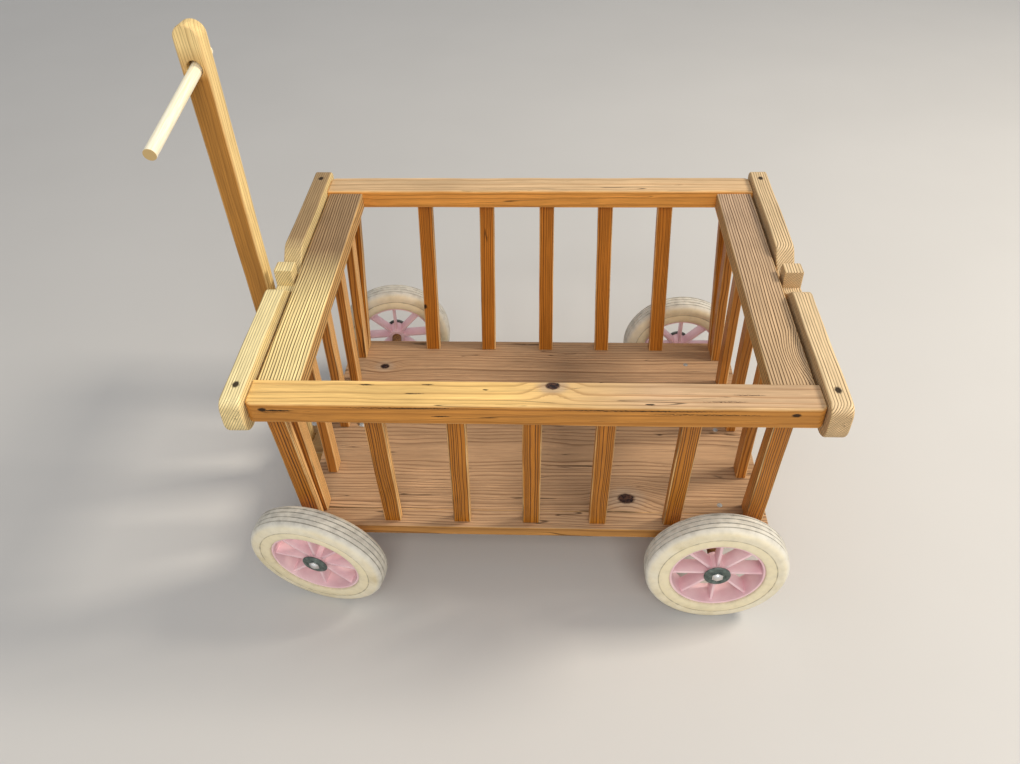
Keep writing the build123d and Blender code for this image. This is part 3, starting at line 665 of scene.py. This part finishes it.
# Handle rod
# A new bare beech dowel pushed through the drawbar's head. It is thinner than its hole, so it hangs down at
# the near end. Its pores are drawn 1.4 mm apart, coarser than real.
rod_r, rod_near, rod_far = 7.8, 172.0, 34.0
droop, skew = math.radians(10.5), math.radians(2.7)
rod_mid = pivot_at + bar_up * rod_up * MM
rod_level = bar_fore * math.sin(skew) - turn_y * math.cos(skew)
rod_dir = (rod_level * math.cos(droop) - bar_up * math.sin(droop)).normalized()
rod_side = bar_up.cross(rod_dir).normalized()
rod_centre = rod_mid + rod_dir * (rod_near - rod_far) / 2 * MM
half_rod = (rod_near + rod_far) / 2 * MM
beech, tree, shader = new_finish("bare beech dowel")
coords = add_node(tree, "Attribute", out="Vector", attribute_name="grain")
stretch = add_node(tree, "Mapping", {"Vector": coords, "Scale": (30.0, 700.0, 700.0)})
fibre = add_node(tree, "TexNoise", {"Vector": stretch, "Scale": 1.0, "Detail": 3.0})
tone = add_node(tree, "ValToRGB", {"Fac": fibre}, stops=((0.3, "#F6EBC4"), (0.62, "#FFFCEA")))
# the end grain of the two cut ends takes up dirt
place = add_node(tree, "SeparateXYZ", {0: coords})
place = add_node(tree, "Math", {0: place}, operation="ABSOLUTE")
cut = add_node(tree, "MapRange", {"Value": place, "From Min": half_rod - 0.9 * MM,
                                  "From Max": half_rod - 0.2 * MM})
toned = add_node(tree, "Mix", {0: cut, 6: tone, 7: paint("#CDB078")}, 2, data_type="RGBA")
relief = add_node(tree, "Bump", {"Height": fibre, "Strength": 0.3, "Distance": 0.0003})
set_inputs(shader, {"Base Color": toned, "Normal": relief, "Roughness": 0.55})
bm = new_timber()
bmesh.ops.create_cone(bm, cap_ends=True, segments=40, radius1=rod_r * MM, radius2=rod_r * MM,
                      depth=half_rod * 2)
ease(bm, sharp_edges(bm), 0.8 * MM, 2)
place = Matrix((rod_side, rod_dir.cross(rod_side), rod_dir)).transposed().to_4x4()
place.translation = rod_centre
bmesh.ops.transform(bm, matrix=place, verts=bm.verts)
lay_timber(bm, "handle_dowel", beech, "drawbar", ["handle_rod"], rod_centre, rod_dir, rod_side)

# Wheels
# Each wheel is a solid cream rubber tyre on a one-piece rim of pink moulded plastic, with eight thin webs
# between its barrel and its hub tube. The rubber has yellowed, and its four grooves hold road dirt.

# moulded rubber with blotches of 60 mm, dust of 11 mm and pores, drawn at 1.4 mm so that they show
rubber, tree, shader = new_finish("yellowed cream rubber")
coords = add_node(tree, "TexCoord", out="Object")
blotch = add_node(tree, "TexNoise", {"Vector": coords, "Scale": 16.0, "Detail": 5.0, "Roughness": 0.6})
tone = add_node(tree, "ValToRGB", {"Fac": blotch},
                stops=((0.30, "#DACCA6"), (0.48, "#F2E8CC"), (0.72, "#F8F2DE")))
# the band beside the rim has yellowed more than the wall, and the tread is grey white: partly scuffed by the
# road, partly painted sunlight, as sun lights the tops of the tyres
for layer, share, colour in (("bead", 0.65, "#F9ECC6"), ("tread", 0.7, "#E8E9E6")):
    here = add_node(tree, "Attribute", out="Fac", attribute_name=layer)
    here = add_node(tree, "Math", {0: here, 1: share}, operation="MULTIPLY")
    tone = add_node(tree, "Mix", {0: here, 6: tone, 7: paint(colour)}, 2, data_type="RGBA")
dirt = add_node(tree, "Attribute", out="Fac", attribute_name="dirt")
dust = add_node(tree, "TexNoise", {"Vector": coords, "Scale": 90.0, "Detail": 4.0})
caked = add_node(tree, "Math", {0: dust, 1: 1.5}, operation="MULTIPLY")
caked = add_node(tree, "Math", {0: caked, 1: dirt}, operation="MULTIPLY")
film = add_node(tree, "MapRange", {"Value": dust, "From Min": 0.45, "From Max": 0.75, "To Max": 0.12})
dirt = add_node(tree, "Math", {0: caked, 1: film}, operation="ADD", use_clamp=True)
soiled = add_node(tree, "Mix", {0: dirt, 6: tone, 7: paint("#68635B")}, 2, data_type="RGBA")
pores = add_node(tree, "TexNoise", {"Vector": coords, "Scale": 700.0, "Detail": 3.0})
relief = add_node(tree, "Bump", {"Height": pores, "Strength": 0.25, "Distance": 0.0004})
set_inputs(shader, {"Base Color": soiled, "Normal": relief, "Roughness": 0.72, "Specular IOR Level": 0.3})


def mottled(name, scale, detail, stops, rough, bump, metallic=0.0, grit=None):
    """A finish whose colour comes and goes with one noise. Its bump, a strength and a distance, stands up
    with the same noise, or with grit of its own scale and detail. rough is one value, or two that the
    noise goes between."""
    finish, tree, shader = new_finish(name)
    coords = add_node(tree, "TexCoord", out="Object")
    spots = add_node(tree, "TexNoise", {"Vector": coords, "Scale": scale, "Detail": detail})
    tone = add_node(tree, "ValToRGB", {"Fac": spots}, stops=stops)
    if isinstance(rough, tuple):
        rough = add_node(tree, "MapRange", {"Value": spots, "To Min": rough[0], "To Max": rough[1]})
    grain = spots
    if grit:
        grain = add_node(tree, "TexNoise", {"Vector": coords, "Scale": grit[0], "Detail": grit[1]})
    relief = add_node(tree, "Bump", {"Height": grain, "Strength": bump[0], "Distance": bump[1]})
    set_inputs(shader, {"Base Color": tone, "Metallic": metallic, "Roughness": rough, "Normal": relief})
    return finish


# sun has faded the plastic in clouds of 33 mm, and its moulded grit is drawn at 2 mm
pink = mottled("faded pink moulded plastic", 30.0, 5.0, ((0.32, "#EDC4CE"), (0.66, "#FCDEE3")), 0.48,
               (0.15, 0.0003), grit=(450.0, 2.0))

tyre_profile = [
    # out from the middle, radius, dirt
    (16.5, 66.0, 0.35), (18.4, 66.9, 0.2), (19.3, 68.6, 0.05), (19.7, 72.0, 0.0), (19.6, 80.4, 0.0),
    (19.15, 81.3, 0.6), (19.15, 81.9, 0.6), (19.8, 82.7, 0.0), (19.9, 86.5, 0.0), (19.6, 89.5, 0.0),
    (18.4, 92.8, 0.0), (16.5, 95.8, 0.05), (14.4, 97.9, 0.2), (12.6, 98.9, 0.3),
]
groove_deep = 1.7
for groove, land in ((10.6, 99.35), (3.8, 99.95)):
    bottom = land - groove_deep
    tyre_profile += [(groove + 0.9, land - 0.05, 0.3), (groove + 0.6, bottom, 0.7),
                     (groove - 0.6, bottom, 0.7), (groove - 0.9, land, 0.3)]
tyre_profile += [(0.0, 100.0, 0.35)] + [(-z, r, d) for z, r, d in reversed(tyre_profile)]
band_r, tread_r, tread_blend = 82, 93, 5
hub_profile = [(15.0, 5.06), (15.0, 13.3), (14.3, 14.0), (-14.3, 14.0), (-15.0, 13.3), (-15.0, 5.06)]
barrel_profile = [(16.5, 63.5), (16.5, 65.6), (16.1, 66.0), (-16.1, 66.0), (-16.5, 65.6), (-16.5, 63.5),
                  (-16.0, 63.0), (0.0, 62.7), (16.0, 63.0)]
web_size = Vector((51.0, 4.0, 22.0)) * MM
web_at = Matrix.Translation((38.5 * MM, 0, 0.5 * MM))
web_count = 8


def spin_ring(bm, profile, steps=96, closed=True):
    """Turns a profile of (out, radius) in mm round the local Z axis."""
    ring = [bm.verts.new((r * MM, 0, z * MM)) for z, r in profile]
    edges = [bm.edges.new((a, b)) for a, b in zip(ring, ring[1:])]
    if closed:
        edges.append(bm.edges.new((ring[-1], ring[0])))
    bmesh.ops.spin(bm, geom=ring + edges, cent=(0, 0, 0), axis=(0, 0, 1), angle=2 * math.pi, steps=steps,
                   use_merge=True)


def wheel_place(joint):
    """The matrix that puts a wheel drawn round Z, outer side up, on its axle."""
    axis = Vector(joint["axis"]).normalized()
    centre = Vector(joint["pos_m"])
    out = axis if centre.y > 0 else -axis
    side = out.cross(ALONG_Z).normalized()
    place = Matrix((side, out.cross(side), out)).transposed().to_4x4()
    place.translation = centre
    return place


def finish_piece(bm, name, finish, body, nodes):
    """Makes the bmesh a finished piece."""
    piece = bpy.data.objects.new(name, shaded_mesh(bm, name, finish, 35))
    bpy.context.collection.objects.link(piece)
    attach(piece, body)
    if nodes:
        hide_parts(*nodes)
    return piece


for wheel in ("rear_near", "rear_far", "front_near", "front_far"):
    body = "wheel_" + wheel
    place = wheel_place(joints[body + "_spin"])
    back = place.inverted()
    bm = bmesh.new()
    spin_ring(bm, [(z, r) for z, r, d in tyre_profile])
    bmesh.ops.transform(bm, matrix=place, verts=bm.verts)
    tyre = finish_piece(bm, wheel + "_tyre", rubber, body, ["tyre_" + wheel]).data
    for layer in ("dirt", "bead", "tread"):
        tyre.attributes.new(layer, "FLOAT", "POINT")
    dirt_layer, bead_layer, tread_layer = (tyre.attributes[k].data for k in ("dirt", "bead", "tread"))
    for v in tyre.vertices:
        spot = back @ v.co
        r, z = math.hypot(spot.x, spot.y) / MM, spot.z / MM
        near = min(tyre_profile, key=lambda p: (p[0] - z) ** 2 + (p[1] - r) ** 2)
        dirt_layer[v.index].value = near[2]
        bead_layer[v.index].value = 1.0 if r < band_r else 0.0
        tread_layer[v.index].value = min(1.0, max(0.0, (r - tread_r) / tread_blend))
    bm = bmesh.new()
    spin_ring(bm, hub_profile, 48)
    spin_ring(bm, barrel_profile)
    for k in range(web_count):
        web = bmesh.ops.create_cube(bm, size=1.0)["verts"]
        bmesh.ops.scale(bm, verts=web, vec=web_size)
        made = bevel(bm, list({e for v in web for e in v.link_edges if runs(e, 0)}), 0.9 * MM, 2)
        web = list({v for f in made["faces"] for v in f.verts})
        turn = Matrix.Rotation(2 * math.pi * k / web_count, 4, "Z") @ web_at
        bmesh.ops.transform(bm, matrix=turn, verts=web)
    bmesh.ops.transform(bm, matrix=place, verts=bm.verts)
    finish_piece(bm, wheel + "_rim", pink, body, ["rim_" + wheel])

# Washers, nuts and steel
# A dull grey green washer and a bright dome nut hold each wheel on its axle. The sleeves between the wheels
# and the beams have rusted, and the rest is plain zinc plated steel with spangles of 4 to 5 mm.
dull = mottled("dull grey green steel washer", 160.0, 5.0, ((0.3, "#434E4B"), (0.7, "#788580")), 0.5,
               (0.2, 0.0003), metallic=0.6)
zinc = mottled("zinc plated steel", 220.0, 6.0, ((0.35, "#8C8B86"), (0.68, "#BFC0BE")), (0.35, 0.55),
               (0.15, 0.0002), metallic=1.0)
rust = mottled("rusted steel tube", 260.0, 6.0, ((0.36, "#5E3E24"), (0.66, "#96703F")), 0.8,
               (0.4, 0.0004), metallic=0.2)
# the polished nuts have a haze of fine scratches, drawn at 3 mm
chrome, tree, shader = new_finish("bright chromed steel")
coords = add_node(tree, "TexCoord", out="Object")
haze = add_node(tree, "TexNoise", {"Vector": coords, "Scale": 300.0, "Detail": 4.0})
gloss = add_node(tree, "MapRange", {"Value": haze, "From Min": 0.3, "From Max": 0.7, "To Min": 0.08,
                                    "To Max": 0.28})
set_inputs(shader, {"Base Color": paint("#D9DADA"), "Metallic": 1.0, "Roughness": gloss})

washer_profile = [(15.3, 5.1), (15.3, 17.8), (15.8, 18.5), (16.9, 18.5), (17.9, 17.4), (18.3, 15.6),
                  (18.3, 12.6), (18.0, 11.9), (17.3, 11.5), (17.3, 5.1)]
dome_profile = [(19.7, 6.6), (20.6, 5.95), (21.4, 5.1), (22.1, 4.1), (22.7, 2.9), (23.1, 1.6), (23.25, 0.0)]
hex_r, hex_high, hex_at = 8.6 * MM, 2.6 * MM, 18.6 * MM


def gather(bm, part, place):
    """Moves a part to its place and adds it to the bmesh."""
    bmesh.ops.transform(part, matrix=place, verts=part.verts)
    mesh = bpy.data.meshes.new("part")
    part.to_mesh(mesh)
    part.free()
    bm.from_mesh(mesh)
    bpy.data.meshes.remove(mesh)


for axle, body in (("rear", "wagon"), ("front", "front_axle")):
    washers = bmesh.new()
    nuts = bmesh.new()
    for side in ("near", "far"):
        place = wheel_place(joints["wheel_%s_%s_spin" % (axle, side)])
        ring = bmesh.new()
        spin_ring(ring, washer_profile, 56)
        gather(washers, ring, place)
        nut = bmesh.new()
        bmesh.ops.create_cone(nut, cap_ends=True, segments=6, radius1=hex_r, radius2=hex_r, depth=hex_high)
        bmesh.ops.translate(nut, verts=nut.verts, vec=(0, 0, hex_at))
        bevel(nut, nut.edges[:], 0.5 * MM, 2)
        spin_ring(nut, dome_profile, 40, closed=False)
        gather(nuts, nut, place)
    finish_piece(washers, axle + "_axle_washers", dull, body, [axle + "_washers"])
    finish_piece(nuts, axle + "_dome_nuts", chrome, body, [axle + "_nuts"])
for node_name in ("rear_axle", "front_axle_stubs", "rear_sleeves", "front_sleeves", "turntable_plate",
                  "kingpin", "kingpin_nut", "pivot_bolt"):
    steel = frame["nodes"][node_name]
    steel.data.materials.clear()
    steel.data.materials.append(rust if "sleeves" in node_name else zinc)

# Floor screws
# Countersunk zinc screws hold the floor to the rear axle beam. Their heads stand half a mm above the boards.
# Their places are in mm from the wagon's middle.
screw_profile = [(-0.8, 3.0), (0.0, 4.0), (0.35, 3.7), (0.5, 2.4), (0.2, 1.0), (0.1, 0.0)]
screw_places = [(256, 152), (270, -164), (285, -8)]
floor_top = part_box("floor_panel")[1][2]
bm = bmesh.new()
for x, y in screw_places:
    screw = bmesh.new()
    spin_ring(screw, screw_profile, 24, closed=False)
    gather(bm, screw, Matrix.Translation((x * MM + MID_X, y * MM + MID_Y, floor_top)))
finish_piece(bm, "floor_screws", zinc, "wagon", [])
